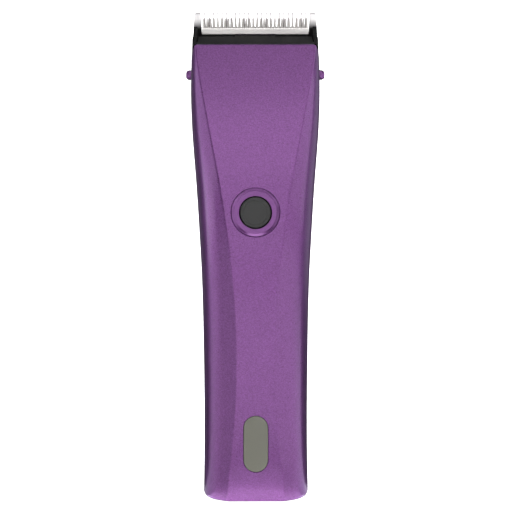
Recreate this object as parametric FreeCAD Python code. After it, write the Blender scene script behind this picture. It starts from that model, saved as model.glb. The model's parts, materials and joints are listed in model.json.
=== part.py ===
import FreeCAD, Part
import math
import os
from FreeCAD import Vector as V

# Cordless pet clipper with a detachable blade set, standing on its base, in mm.
# +Z runs up the body to the comb's tips, the switch side faces -Y, +X is to the right of the switch side.

# ---- driving dimensions ----
TOP = 178.6            # height of the comb's tips at its sliding face
TIP_Y = 3.4            # depth of the comb's tips before the depth shift
BLADE_LEAN = 35.0      # angle between the comb plane and the vertical, degrees
SEAT_Y, SEAT_Z = -10.0, 165.0   # front edge of the housing's mouth
SEAT_SLOPE = 24.0      # the mouth falls away to the back by this angle, degrees
DEPTH_SHIFT = -0.905   # moves the model so that the box's centre is on the Z axis
WALL = 2.0             # housing wall
PART_Y = 1.5           # parting plane of the two housing halves
BASE_ROUND = 0.8       # round on the base's edge
MOUTH_BEVEL = 0.95     # bevel round the housing's mouth

# housing stations: height, half width, half width of the front facet, front, widest depth, back, squareness of the back
STATIONS = [
    (0.0, 19.32, 10.40, -17.20, PART_Y, 17.0, 2.5),
    (8.0, 19.18, 9.80, -17.70, PART_Y, 17.5, 2.5),
    (20.0, 19.04, 8.40, -18.25, PART_Y, 18.0, 2.5),
    (38.0, 19.10, 7.10, -19.00, PART_Y, 18.3, 2.5),
    (60.0, 19.40, 7.00, -19.90, PART_Y, 18.0, 2.5),
    (80.0, 19.95, 8.30, -20.50, PART_Y, 17.1, 2.5),
    (100.0, 21.02, 10.80, -20.70, PART_Y, 16.1, 2.6),
    (116.0, 22.07, 13.40, -19.95, PART_Y, 16.0, 2.8),
    (130.0, 23.17, 16.10, -18.30, PART_Y, 17.1, 3.2),
    (142.0, 23.80, 18.40, -16.10, PART_Y, 19.9, 4.0),
    (154.0, 23.88, 20.60, -13.30, PART_Y, 24.0, 5.0),
    (166.0, 23.52, 22.00, -10.30, PART_Y, 28.5, 5.6),
    (174.0, 23.32, 22.30, -8.20, PART_Y, 31.5, 5.8),
]
# outline of the side facet, from the crease (0, 0) to the widest point (1, 1)
FACET = [(0, 0), (0.19, 0.075), (0.348, 0.140), (0.573, 0.262), (0.719, 0.385), (0.876, 0.590), (0.955, 0.785), (1, 1)]

SWITCH_Z = 103.3
BEZEL_R, BEZEL_BORE_R = 8.65, 5.86
BUTTON_R, BUTTON_TRAVEL = 5.44, 0.8
WINDOW_Z, WINDOW_W, WINDOW_L = 20.7, 8.7, 20.1

COMB_T = 1.6
COMB_LEN = 22.4
TOOTH_PITCH = 1.644
COMB_GAPS = 25
CUTTER_HALF = 20.0
CUTTER_TEETH = 30
CUTTER_PITCH = 1.333
CUTTER_TIP, CUTTER_ROOT, CUTTER_BACK = -2.2, -5.7, -8.5

HEEL_U, HEEL_N = -30.2, 1.3   # heel pin, in the comb's plane
HEEL_PIN_R = 1.2
HEEL_R = 2.9

SLIDE_U = -25.0        # middle of the length slide, in the comb's plane
SLIDE_TRAVEL = 3.0
SETBACK_RATIO = 1.0 / 3.0

ECCENTRIC = 1.1
PIN_R = 1.0
SHAFT_R = 1.585

CELL_R, CELL_L, CELL_Y, CELL_Z = 9.2, 65.2, 2.0, 27.2


# ---- helpers ----
def box(x0, x1, y0, y1, z0, z1):
    return Part.makeBox(x1 - x0, y1 - y0, z1 - z0, V(x0, y0, z0))


def cyl(r, p, d, length):
    return Part.makeCylinder(r, length, V(*p), V(*d))


def prism_x(points, x0, x1):
    """A polygon of (second, third) coordinates, extruded along X."""
    pts = [V(x0, a, b) for a, b in points]
    return Part.Face(Part.makePolygon(pts + [pts[0]])).extrude(V(x1 - x0, 0, 0))


def prism_z(points, z0, z1):
    pts = [V(a, b, z0) for a, b in points]
    return Part.Face(Part.makePolygon(pts + [pts[0]])).extrude(V(0, 0, z1 - z0))


def placed(shape, placement):
    s = shape.copy()
    s.Placement = placement.multiply(s.Placement)
    return s


# seat frame: (x, along the mouth to the back, out of the mouth); comb frame: (x, towards the tips, into the body)
SEAT = FreeCAD.Placement(V(0, SEAT_Y, SEAT_Z), FreeCAD.Rotation(V(1, 0, 0), -SEAT_SLOPE))
COMB = FreeCAD.Placement(V(0, TIP_Y, TOP), FreeCAD.Rotation(V(1, 0, 0), 90.0 + BLADE_LEAN))


def seat(shape):
    return placed(shape, SEAT)


def comb(shape):
    return placed(shape, COMB)


def comb_in_seat(u, n):
    p = SEAT.inverse().multVec(COMB.multVec(V(0, u, n)))
    return (p.y, p.z)


HEEL = comb_in_seat(HEEL_U, HEEL_N)


def section(z, w, c, yf, ym, yb, sq, t=0.0):
    w, yf, yb, c = w - t, yf + t, yb - t, max(c - 0.55 * t, 3.0)
    right = [V(c + (w - c) * a, yf + (ym - yf) * b, z) for a, b in FACET]
    left = [V(-p.x, p.y, z) for p in reversed(right)]
    back = []
    for i in range(25):
        a = math.pi * i / 24
        ca, sa = round(math.cos(a), 9), round(math.sin(a), 9)
        back.append(V(w * math.copysign(abs(ca) ** (2 / sq), ca), ym + (yb - ym) * abs(sa) ** (2 / sq), z))
    edges = [Part.LineSegment(V(-c, yf, z), V(c, yf, z)).toShape()]
    for pts in (right, back, left):
        curve = Part.BSplineCurve()
        curve.interpolate(pts)
        edges.append(curve.toShape())
    return Part.Wire(edges)


def hull(t=0.0):
    return Part.makeLoft([section(*s, t=t) for s in STATIONS], True, False, False)


def screw(p, d, head_r, head_h, shank_r, length):
    """A pan head screw. p is under the head, d points down the shank."""
    p, d = V(*p), V(*d).normalize()
    head = Part.makeCylinder(head_r, head_h, p - d * head_h, d)
    shank = Part.makeCylinder(shank_r, length, p, d)
    s = head.fuse(shank)
    side = d.cross(V(1, 0, 0) if abs(d.x) < 0.9 else V(0, 1, 0)).normalize()
    other = d.cross(side)
    for a, b in ((side, other), (other, side)):
        c = p - d * (head_h + 0.01)
        w, l, h = head_r * 0.26, head_r * 1.2, head_h * 0.55
        q = [c - a * (l / 2) - b * (w / 2), c + a * (l / 2) - b * (w / 2), c + a * (l / 2) + b * (w / 2), c - a * (l / 2) + b * (w / 2)]
        s = s.cut(Part.Face(Part.makePolygon(q + [q[0]])).extrude(d * h))
    return s.removeSplitter()


def tube_path(points, radius, bend):
    """A round wire along straight runs joined by arcs."""
    pts = [V(*p) for p in points]
    edges, start = [], pts[0]
    for i in range(1, len(pts) - 1):
        a, b, c = pts[i - 1], pts[i], pts[i + 1]
        d1, d2 = (b - a).normalize(), (c - b).normalize()
        turn = d1.getAngle(d2)
        cut = bend * math.tan(turn / 2)
        p1, p2 = b - d1 * cut, b + d2 * cut
        mid_dir = (d2 - d1).normalize()
        centre = b + mid_dir * (bend / math.cos(turn / 2))
        mid = centre - mid_dir * bend
        edges.append(Part.LineSegment(start, p1).toShape())
        edges.append(Part.Arc(p1, mid, p2).toShape())
        start = p2
    edges.append(Part.LineSegment(start, pts[-1]).toShape())
    path = Part.Wire(edges)
    d = (pts[1] - pts[0]).normalize()
    profile = Part.Wire(Part.makeCircle(radius, pts[0], d))
    return path.makePipeShell([profile], True, True)


def stadium(w, l, zc, y0, y1):
    r = w / 2
    s = box(-r, r, y0, y1, zc - l / 2 + r, zc + l / 2 - r)
    for z in (zc - l / 2 + r, zc + l / 2 - r):
        s = s.fuse(cyl(r, (0, y0, z), (0, 1, 0), y1 - y0))
    return s.removeSplitter()


def mirror_x(shape):
    return shape.mirror(V(0, 0, 0), V(1, 0, 0))


def both(shape):
    return [shape, mirror_x(shape)]


def fuse_all(first, others):
    s = first
    for o in others:
        s = s.fuse(o)
    return s.removeSplitter()


def cut_all(first, others):
    s = first
    for o in others:
        s = s.cut(o)
    return s


nodes = {}

# ---- housing ----
outer = hull()
bottom_edges = [e for e in outer.Edges if all(abs(v.Point.z) < 1e-6 for v in e.Vertexes)]
outer = outer.makeFillet(BASE_ROUND, bottom_edges)
inner = hull(WALL).common(box(-40, 40, -40, 60, WALL, 200))
frame_room = hull(WALL + 0.1)
below_seat = seat(box(-40, 40, -60, 120, -220, 0.0))
body = outer.common(below_seat)

# bevelled rim of the mouth: from the full outline to a smaller one at the mouth's plane
out_of_mouth = SEAT.Rotation.multVec(V(0, 0, 1))
mouth_at = out_of_mouth.dot(V(0, SEAT_Y, SEAT_Z))
wide = hull().slice(out_of_mouth, mouth_at - MOUTH_BEVEL)[0]
narrow = hull(MOUTH_BEVEL).slice(out_of_mouth, mouth_at)[0]
rim = Part.makeLoft([wide, narrow], True, True, False)
body = outer.common(seat(box(-40, 40, -60, 120, -220, -MOUTH_BEVEL))).fuse(rim).removeSplitter()

skin = hull(0.35)
seam = box(-40, 40, PART_Y - 0.16, PART_Y + 0.16, -5, 190).cut(skin)
body = body.cut(seam)
front_half = box(-60, 60, -80, PART_Y, -20, 220)
back_half = box(-60, 60, PART_Y, 80, -20, 220)
solid_front = body.common(front_half)
solid_back = body.common(back_half)
heel_groove = seat(cyl(HEEL_R + 0.35, (-30, HEEL[0], HEEL[1]), (1, 0, 0), 60))

front = solid_front.cut(inner)
# bosses for the frame screws, the housing screws and the board screws
FRAME_SCREW_X, FRAME_SCREW_S = 18.2, 11.0
boss = seat(cyl(2.4, (FRAME_SCREW_X, FRAME_SCREW_S, -12.5), (0, 0, 1), 9.2).fuse(box(FRAME_SCREW_X, 24.5, FRAME_SCREW_S - 1.6, FRAME_SCREW_S + 1.6, -12.5, -3.3)))
boss = boss.common(solid_front)
boss = boss.cut(seat(cyl(1.1, (FRAME_SCREW_X, FRAME_SCREW_S, -12.0), (0, 0, 1), 12)))
HOUSING_SCREW_X, HOUSING_SCREW_Z = 14.2, 16.0
low_boss = cyl(2.6, (HOUSING_SCREW_X, -18, HOUSING_SCREW_Z), (0, 1, 0), 18 + PART_Y).common(solid_front)
low_boss = low_boss.cut(cyl(1.1, (HOUSING_SCREW_X, -8.5, HOUSING_SCREW_Z), (0, 1, 0), 20))
BOARD_SCREWS = [(8.0, 45.0), (8.0, 84.0)]
posts = [cyl(1.9, (x, -20, z), (0, 1, 0), 7.0).common(solid_front).cut(cyl(0.8, (x, -17.5, z), (0, 1, 0), 8)) for x, z in BOARD_SCREWS]
front = fuse_all(front, both(boss) + both(low_boss) + [q for p in posts for q in both(p)])
front = front.cut(cyl(BEZEL_R + 0.06, (0, -30, SWITCH_Z), (0, 1, 0), 16))
front = front.cut(stadium(WINDOW_W + 0.16, WINDOW_L + 0.16, WINDOW_Z, -30, -10))
nodes["front_shell"] = front

rear = solid_back.cut(inner).cut(heel_groove)
rear_boss = cyl(3.2, (HOUSING_SCREW_X, PART_Y, HOUSING_SCREW_Z), (0, 1, 0), 20).common(solid_back)
rear = fuse_all(rear, both(rear_boss))
for x in (HOUSING_SCREW_X, -HOUSING_SCREW_X):
    rear = rear.cut(cyl(1.2, (x, 0, HOUSING_SCREW_Z), (0, 1, 0), 30)).cut(cyl(2.3, (x, 8.0, HOUSING_SCREW_Z), (0, 1, 0), 30))
SOCKET_Y, SOCKET_R, JACK_FLOOR = 8.2, 4.4, 10.5
CONTACT_X, CONTACT_Y = 10.4, 7.6
rear = rear.cut(cyl(SOCKET_R + 0.05, (0, SOCKET_Y, -1), (0, 0, 1), 5))
for x in (CONTACT_X, -CONTACT_X):
    rear = rear.cut(box(x - 1.65, x + 1.65, CONTACT_Y - 3.35, CONTACT_Y + 3.35, -1, 4))
nodes["rear_shell"] = rear

nodes["housing_screws"] = Part.makeCompound([screw((x, 8.02, HOUSING_SCREW_Z), (0, -1, 0), 2.1, 1.5, 1.08, 15.5) for x in (HOUSING_SCREW_X, -HOUSING_SCREW_X)])

# ---- head frame ----
ring_out, ring_in, web_z0, web_z1 = 13.3, 12.1, 140.5, 143.0
HOLE_S = 12.0
slab = seat(box(-40, 40, -20, 60, -3.2, 0.0)).common(frame_room)
ring = cyl(ring_out, (0, 0, web_z0), (0, 0, 1), 30).common(below_seat).common(frame_room)
frame = slab.fuse(ring)
frame = frame.cut(cyl(ring_in, (0, 0, web_z1), (0, 0, 1), 30).common(seat(box(-40, 40, -60, 120, -220, -3.2))))
frame = frame.cut(cyl(3.6, (0, 0, web_z0 - 1), (0, 0, 1), 5))
for x in (8.0, -8.0):
    frame = frame.cut(cyl(1.1, (x, 0, web_z0 - 1), (0, 0, 1), 5))
frame = frame.cut(seat(cyl(5.4, (0, HOLE_S, -5), (0, 0, 1), 8))).cut(seat(cyl(6.6, (0, HOLE_S, -2.4), (0, 0, 1), 5)))
frame = frame.cut(heel_groove)
EAR0, EAR1 = 11.0, 13.8
ear = seat(cyl(2.2, (EAR0, HEEL[0], HEEL[1]), (1, 0, 0), EAR1 - EAR0).fuse(box(EAR0, EAR1, HEEL[0] - 2.2, HEEL[0] + 0.7, -3.2, HEEL[1])))
frame = fuse_all(frame, both(ear))
frame = frame.cut(seat(cyl(HEEL_PIN_R, (-30, HEEL[0], HEEL[1]), (1, 0, 0), 60)))
LUG0, LUG1 = 9.6, 13.4
for side in both(seat(box(LUG0 - 0.6, LUG1 + 0.6, 2.9, 6.3, -6, 1))):
    frame = frame.cut(side)
frame = frame.cut(seat(box(-15.1, 15.1, 2.35, 2.95, -3.0, 1)))
for x in (FRAME_SCREW_X, -FRAME_SCREW_X):
    frame = frame.cut(seat(cyl(1.2, (x, FRAME_SCREW_S, -6), (0, 0, 1), 8))).cut(seat(cyl(2.3, (x, FRAME_SCREW_S, -1.7), (0, 0, 1), 4)))
nodes["head_frame"] = frame.removeSplitter()

frame_screws = [screw((x, FRAME_SCREW_S, -1.7), (0, 0, -1), 2.1, 1.5, 1.08, 9.5) for x in (FRAME_SCREW_X, -FRAME_SCREW_X)]
nodes["frame_screws"] = Part.makeCompound([seat(s) for s in frame_screws])
nodes["heel_pin"] = seat(cyl(HEEL_PIN_R, (-EAR1, HEEL[0], HEEL[1]), (1, 0, 0), 2 * EAR1))
latch = box(-14.9, 14.9, 2.38, 2.66, -2.95, -0.5)
for x0 in (10.2, -12.8):
    latch = latch.fuse(prism_x([(2.66, -2.6), (3.25, -2.0), (3.25, -1.7), (2.66, -1.1)], x0, x0 + 2.6))
nodes["latch_spring"] = seat(latch.removeSplitter())
nodes["drive_seal"] = seat(cyl(6.55, (0, HOLE_S, -2.38), (0, 0, 1), 1.1)).cut(cyl(2.7, (0, 0, 140), (0, 0, 1), 40))

# ---- switch ----
FACE_Y = -20.75
profile = [(BEZEL_BORE_R, -19.55), (7.35, -19.55), (7.85, -19.75), (8.2, -20.2), (8.35, FACE_Y), (BEZEL_R, FACE_Y + 0.12), (BEZEL_R, -18.05), (9.6, -18.05), (9.6, -17.0), (BEZEL_BORE_R, -17.0)]
ring_pts = [V(r, y, SWITCH_Z) for r, y in profile]
bezel = Part.Face(Part.makePolygon(ring_pts + [ring_pts[0]])).revolve(V(0, 0, SWITCH_Z), V(0, 1, 0), 360)
nodes["switch_bezel"] = bezel
prof = [(0, -20.30), (4.3, -20.34), (4.5, -20.40), (5.12, -20.36), (5.37, -20.25), (BUTTON_R, -20.0), (BUTTON_R, -17.9), (1.5, -17.9), (1.5, -15.3), (0, -15.3)]
pts = [V(r, y, SWITCH_Z) for r, y in prof]
nodes["switch_button"] = Part.Face(Part.makePolygon(pts + [pts[0]])).revolve(V(0, 0, SWITCH_Z), V(0, 1, 0), 360)
nodes["switch_seal"] = cyl(9.4, (0, -17.0, SWITCH_Z), (0, 1, 0), 0.6).cut(cyl(1.75, (0, -20, SWITCH_Z), (0, 1, 0), 8))
nodes["tact_switch"] = box(-3.1, 3.1, -14.4, -13.0, SWITCH_Z - 3.1, SWITCH_Z + 3.1).cut(cyl(1.78, (0, -16, SWITCH_Z), (0, 1, 0), 5))
nodes["switch_plunger"] = cyl(1.7, (0, -15.3, SWITCH_Z), (0, 1, 0), 1.4)

# ---- display ----
lens = stadium(WINDOW_W, WINDOW_L, WINDOW_Z, -30, -15.05).common(hull(0.12))
flange = stadium(WINDOW_W + 1.9, WINDOW_L + 1.9, WINDOW_Z, -15.75, -15.05)
nodes["display_window"] = lens.fuse(flange).removeSplitter()
front_clear = stadium(WINDOW_W + 2.1, WINDOW_L + 2.1, WINDOW_Z, -17.0, -15.0)
nodes["front_shell"] = nodes["front_shell"].cut(front_clear.common(box(-30, 30, -15.95, -15.0, 0, 60)))
nodes["display_panel"] = box(-5.2, 5.2, -15.0, -13.9, WINDOW_Z - 11.0, WINDOW_Z + 11.0)
nodes["display_frame"] = box(-6.4, 6.4, -14.7, -13.0, WINDOW_Z - 12.1, WINDOW_Z + 12.1).cut(box(-5.25, 5.25, -16, -13.9, WINDOW_Z - 11.05, WINDOW_Z + 11.05))

# ---- circuit board ----
board = box(-11.2, 11.2, -13.0, -11.4, 8.5, 107.0)
for x, z in BOARD_SCREWS:
    for sx in (x, -x):
        board = board.cut(cyl(1.0, (sx, -14, z), (0, 1, 0), 5))
nodes["main_board"] = board
nodes["board_screws"] = Part.makeCompound([screw((sx, -11.4, z), (0, -1, 0), 1.6, 1.1, 0.78, 3.9) for x, z in BOARD_SCREWS for sx in (x, -x)])
nodes["drive_chip"] = box(-3.5, 3.5, -14.3, -13.0, 68, 75)
nodes["board_coil"] = cyl(3.4, (0, -13.0, 56.5), (0, -1, 0), 3.0)
nodes["board_capacitors"] = Part.makeCompound([cyl(1.9, (x, -11.4, z), (0, 1, 0), 1.6) for x, z in ((-4.5, 100.5), (4.5, 100.5))] + [box(5, 8, -14.4, -13.0, 64, 66), box(-8, -5, -14.4, -13.0, 64, 66)])

# ---- battery ----
cell_top = CELL_Z + CELL_L
cell = cyl(CELL_R, (0, CELL_Y, CELL_Z), (0, 0, 1), CELL_L)
cell = cell.makeFillet(0.6, [e for e in cell.Edges if e.Closed])
nodes["battery_cell"] = cell
tray = box(-10.7, 10.7, CELL_Y - 3.0, 12.6, CELL_Z - 1.7, cell_top + 1.7)
tray = tray.cut(cyl(CELL_R + 0.1, (0, CELL_Y, CELL_Z - 0.5), (0, 0, 1), CELL_L + 1.0))
tray = tray.cut(box(-4, 4, CELL_Y - 9, CELL_Y - 1, CELL_Z - 5, cell_top + 5))
nodes["battery_cradle"] = tray
tab = box(-3.2, 3.2, -11.4, CELL_Y + 2.8, CELL_Z - 0.35, CELL_Z)
tab_top = box(-3.2, 3.2, -11.4, CELL_Y + 2.8, cell_top, cell_top + 0.35)
nodes["battery_tabs"] = Part.makeCompound([tab, tab_top])
pads = [box(-5, 5, -11.4, -5.5, z, z + 12).cut(cyl(CELL_R + 0.02, (0, CELL_Y, CELL_Z), (0, 0, 1), CELL_L)) for z in (38.0, 66.0)]
nodes["battery_pads"] = Part.makeCompound(pads)

# ---- charging socket and contacts ----
socket = cyl(SOCKET_R, (0, SOCKET_Y, 0.5), (0, 0, 1), 13.0)
socket = socket.cut(cyl(2.8, (0, SOCKET_Y, 0), (0, 0, 1), JACK_FLOOR)).cut(cyl(0.95, (0, SOCKET_Y, 8), (0, 0, 1), 10))
nodes["dc_socket"] = socket
jack_pin = cyl(0.65, (0, SOCKET_Y, 2.0), (0, 0, 1), JACK_FLOOR - 2.0).fuse(cyl(0.95, (0, SOCKET_Y, JACK_FLOOR), (0, 0, 1), 4.0))
nodes["dc_socket_pin"] = jack_pin.removeSplitter()
contact = box(CONTACT_X - 1.6, CONTACT_X + 1.6, CONTACT_Y - 3.3, CONTACT_Y + 3.3, 0.25, 0.95).fuse(box(CONTACT_X - 1.6, CONTACT_X + 1.6, CONTACT_Y + 2.7, CONTACT_Y + 3.3, 0.25, 8.5)).fuse(box(CONTACT_X - 1.6, CONTACT_X + 1.6, CONTACT_Y - 3.3, CONTACT_Y - 2.7, 0.25, 4.0))
nodes["charge_contacts"] = Part.makeCompound(both(contact.removeSplitter()))
nodes["socket_leads"] = Part.makeCompound([tube_path([(x, SOCKET_Y, 13.5), (x, SOCKET_Y, 20.5), (x, -11.4, 20.5)], 0.6, 4.0) for x in (2.4, -2.4)])

# ---- motor ----
M0, M1, M2 = 107.5, 110.0, 140.4
can = cyl(11.9, (0, 0, M1), (0, 0, 1), M2 - M1).cut(cyl(10.9, (0, 0, M1 - 1), (0, 0, 1), M2 - M1 - 0.2))
can = can.cut(cyl(3.0, (0, 0, M2 - 3), (0, 0, 1), 5))
for x in (8.0, -8.0):
    can = can.cut(cyl(1.0, (x, 0, M2 - 3), (0, 0, 1), 5))
nodes["motor_can"] = can
end_cap = cyl(11.8, (0, 0, M0), (0, 0, 1), M1 - M0).fuse(cyl(10.85, (0, 0, M1 - 0.5), (0, 0, 1), 1.7)).cut(cyl(2.6, (0, 0, M0 + 0.5), (0, 0, 1), 6)).cut(cyl(1.7, (0, 0, M0 - 1), (0, 0, 1), 6))
TERMINAL_X = 6.0
for x in (TERMINAL_X, -TERMINAL_X):
    end_cap = end_cap.cut(box(x - 0.25, x + 0.25, -1.25, 1.25, M0 - 1, M1 + 3))
nodes["motor_end_cap"] = end_cap.removeSplitter()
magnet_ring = cyl(10.88, (0, 0, 115.5), (0, 0, 1), 21.0).cut(cyl(9.0, (0, 0, 115), (0, 0, 1), 22))
magnet = magnet_ring.common(prism_z([(2.2, 0), (12.5, -10.5), (12.5, 10.5)], 110, 140))
nodes["motor_magnets"] = Part.makeCompound(both(magnet))
nodes["motor_bushes"] = Part.makeCompound([
    cyl(3.0, (0, 0, 137.4), (0, 0, 1), 4.0).cut(cyl(SHAFT_R + 0.03, (0, 0, 130), (0, 0, 1), 20)),
    cyl(2.6, (0, 0, M0 + 0.5), (0, 0, 1), 3.0).cut(cyl(SHAFT_R + 0.03, (0, 0, 100), (0, 0, 1), 20)),
])
COMM_R = 2.7
brush = box(COMM_R + 0.03, 5.6, -1.1, 1.1, 112.0, 113.9)
nodes["motor_brushes"] = Part.makeCompound(both(brush))
terminal = box(TERMINAL_X - 0.2, TERMINAL_X + 0.2, -1.2, 1.2, 102.4, 113.9).fuse(box(5.6, TERMINAL_X + 0.2, -1.2, 1.2, 111.9, 113.9))
nodes["motor_terminals"] = Part.makeCompound(both(terminal.removeSplitter()))
nodes["motor_screws"] = Part.makeCompound([screw((x, 0, web_z1), (0, 0, -1), 1.9, 1.4, 0.98, 4.2) for x in (8.0, -8.0)])
nodes["motor_leads"] = Part.makeCompound([tube_path([(x, -11.4, 98.0), (x, 0.0, 98.0), (x, 0.0, 102.4)], 0.6, 3.4) for x in (TERMINAL_X, -TERMINAL_X)])

# turning part
nodes["motor_shaft"] = cyl(SHAFT_R, (0, 0, 108.3), (0, 0, 1), 41.7)
Z0, Z1 = 118.0, 134.0
core = cyl(3.4, (0, 0, Z0), (0, 0, 1), Z1 - Z0)
shoe_ring = cyl(8.5, (0, 0, Z0), (0, 0, 1), Z1 - Z0).cut(cyl(6.9, (0, 0, Z0 - 1), (0, 0, 1), Z1 - Z0 + 2))
arms, slits = [], []
for i in range(3):
    a = math.radians(90 + 120 * i)
    c, s = math.cos(a), math.sin(a)
    arms.append(prism_z([(2 * c - 1.5 * -s, 2 * s - 1.5 * c), (7.4 * c - 1.5 * -s, 7.4 * s - 1.5 * c), (7.4 * c + 1.5 * -s, 7.4 * s + 1.5 * c), (2 * c + 1.5 * -s, 2 * s + 1.5 * c)], Z0, Z1))
    wedge = prism_z([(0, 0)] + [(13 * math.cos(a + d), 13 * math.sin(a + d)) for d in (-0.90, 0.0, 0.90)], Z0, Z1)
    arms.append(shoe_ring.common(wedge))
    b = a + math.pi / 3
    cb, sb = math.cos(b), math.sin(b)
    slits.append(prism_z([(0.2 * -sb, 0.2 * cb), (10 * cb + 0.2 * -sb, 10 * sb + 0.2 * cb), (10 * cb - 0.2 * -sb, 10 * sb - 0.2 * cb), (-0.2 * -sb, -0.2 * cb)], 110, 140))
core = fuse_all(core, arms).cut(cyl(SHAFT_R, (0, 0, 100), (0, 0, 1), 60))
nodes["rotor_core"] = core
coils = cyl(6.8, (0, 0, Z0 - 1.7), (0, 0, 1), Z1 - Z0 + 3.6).cut(cyl(3.45, (0, 0, 100), (0, 0, 1), 60)).cut(core)
nodes["rotor_windings"] = cut_all(coils, slits)
nodes["commutator"] = cyl(COMM_R, (0, 0, 111.6), (0, 0, 1), 4.4).cut(cyl(SHAFT_R, (0, 0, 100), (0, 0, 1), 60))

# eccentric drive
ecc = cyl(4.2, (0, 0, 144.4), (0, 0, 1), 5.6).cut(cyl(SHAFT_R, (0, 0, 140), (0, 0, 1), 10))
weight = cyl(7.4, (0, 0, 150.0), (0, 0, 1), 2.5).common(box(-8, 8, -8, 0.8, 149, 153))
ecc = fuse_all(ecc, [cyl(4.2, (0, 0, 150.0), (0, 0, 1), 2.5), weight])
PIN_TOP = 164.5
ecc = ecc.cut(cyl(PIN_R, (0, ECCENTRIC, 150.2), (0, 0, 1), 5))
nodes["eccentric"] = ecc
nodes["drive_pin"] = cyl(PIN_R, (0, ECCENTRIC, 150.2), (0, 0, 1), PIN_TOP - 150.2)

# ---- blade set ----
P = comb_in_seat
LIP_BACK = 1.4
q1, q2 = (0.62, 0.1), (9.98, 9.54)
ld = V(q2[0] - q1[0], q2[1] - q1[1], 0).normalize()
ln = (ld.y * LIP_BACK, -ld.x * LIP_BACK)
side = [q1, q2, P(-5.7, 2.6), P(-5.7, 0.0), P(-COMB_LEN - 0.1, 0.0), P(-COMB_LEN - 0.1, -COMB_T), P(HEEL_U, -COMB_T), HEEL, (HEEL[0], 0.1)]
block = prism_x(side, -30, 30).fuse(cyl(HEEL_R, (-30, HEEL[0], HEEL[1]), (1, 0, 0), 60))
block = seat(block).common(hull(0.12))
# everything behind the lip's inner face
behind_lip = seat(prism_x([(q1[0] + ln[0] - 20 * ld.x, q1[1] + ln[1] - 20 * ld.y), (q2[0] + ln[0] + 20 * ld.x, q2[1] + ln[1] + 20 * ld.y), (90, 60), (90, -60)], -40, 40))
CHEEK = 21.6
cavity = comb(box(-CHEEK, CHEEK, -19.5, 12, -5.0, 7.5)).common(behind_lip)
well = box(-8.95, 8.95, -6.3, 8.6, 140, 180).common(behind_lip)
q3 = (q2[0] + ln[0], q2[1] + ln[1])
above_lip = comb(box(-CHEEK, CHEEK, -19.5, 12, -5.0, 40)).common(seat(prism_x([q2, q3, (60, q3[1]), (60, 60), (q2[0], 60)], -40, 40)))
base = block.cut(cavity).cut(well).cut(above_lip)
for g in both(seat(box(21.1, CHEEK, -5, 14, 2.6, 30)).common(comb(box(0, 40, -40, 20, 0.0, 40)))):
    base = base.cut(g)
channel = comb(box(-CHEEK, CHEEK, SLIDE_U - 2.62, SLIDE_U + 2.62, -0.02, 3.4)).fuse(comb(box(-40, 40, SLIDE_U - 2.62, SLIDE_U + 2.62, 0.15, 3.4)))
KNOB_N = 1.85
knob_hole = comb(cyl(2.05, (-40, SLIDE_U, KNOB_N), (1, 0, 0), 80)).cut(box(-20.2, 20.2, -60, 60, 0, 300))
base = base.cut(channel).cut(knob_hole)
for p in both(comb(box(9.7, 14.3, -27.5, -18.5, -0.02, 4.6))):
    base = base.cut(p)
COMB_SCREW_X, COMB_SCREW_U = 18.0, -17.7
for b in both(comb(cyl(1.6, (COMB_SCREW_X, COMB_SCREW_U, 0.0), (0, 0, 1), 8.5)).common(seat(box(-40, 40, -60, 120, 0.1, 60)))):
    base = base.fuse(b)
for x in (COMB_SCREW_X, -COMB_SCREW_X):
    base = base.cut(comb(cyl(0.92, (x, COMB_SCREW_U, -3), (0, 0, 1), 8.0)))
# hook round the heel pin, open to the mouth
base = base.cut(seat(cyl(HEEL_PIN_R + 0.06, (-14.0, HEEL[0], HEEL[1]), (1, 0, 0), 28.0)))
base = base.cut(seat(box(-10.85, 10.85, HEEL[0] - 1.0, HEEL[0] + 1.0, HEEL[1] - 5, HEEL[1])))
ear_notch = seat(cyl(2.6, (EAR0 - 0.2, HEEL[0], HEEL[1]), (1, 0, 0), EAR1 - EAR0 + 0.5).fuse(box(EAR0 - 0.2, EAR1 + 0.3, HEEL[0] - 2.6, HEEL[0] + 6, -8, HEEL[1])))
for e in both(ear_notch):
    base = base.cut(e)
lug = seat(box(LUG0, LUG1, 4.0, 5.5, -4.2, 1.2).cut(prism_x([(3.9, -2.7), (4.35, -2.2), (4.35, -1.5), (3.9, -1.0)], 0, 30)))
base = fuse_all(base, both(lug))
nodes["blade_base"] = base

# comb
edge = [(22.0, 0.0), (22.7, -0.8), (23.05, -4.5), (23.3, -8.0), (23.35, -14.0), (23.15, -COMB_LEN)]
outline = edge + [(-x, u) for x, u in reversed(edge)]
plate = prism_z(outline, -COMB_T, 0.0)
plate = plate.cut(prism_x([(1.0, -0.28), (-9.0, -COMB_T), (-9.0, -COMB_T - 2), (1.0, -COMB_T - 2)], -30, 30))
gaps = []
for i in range(COMB_GAPS):
    x = (i - (COMB_GAPS - 1) / 2) * TOOTH_PITCH
    gaps.append(prism_z([(x - 0.44, -8.6), (x + 0.44, -8.6), (x + 0.56, 1.0), (x - 0.56, 1.0)], -5, 2))
plate = plate.cut(gaps)
for x in (COMB_SCREW_X, -COMB_SCREW_X):
    plate = plate.cut(cyl(1.0, (x, COMB_SCREW_U, -3), (0, 0, 1), 5)).cut(Part.makeCone(1.95, 1.0, 0.95, V(x, COMB_SCREW_U, -COMB_T), V(0, 0, 1)))
nodes["comb_blade"] = comb(plate)
comb_screws = []
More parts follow.
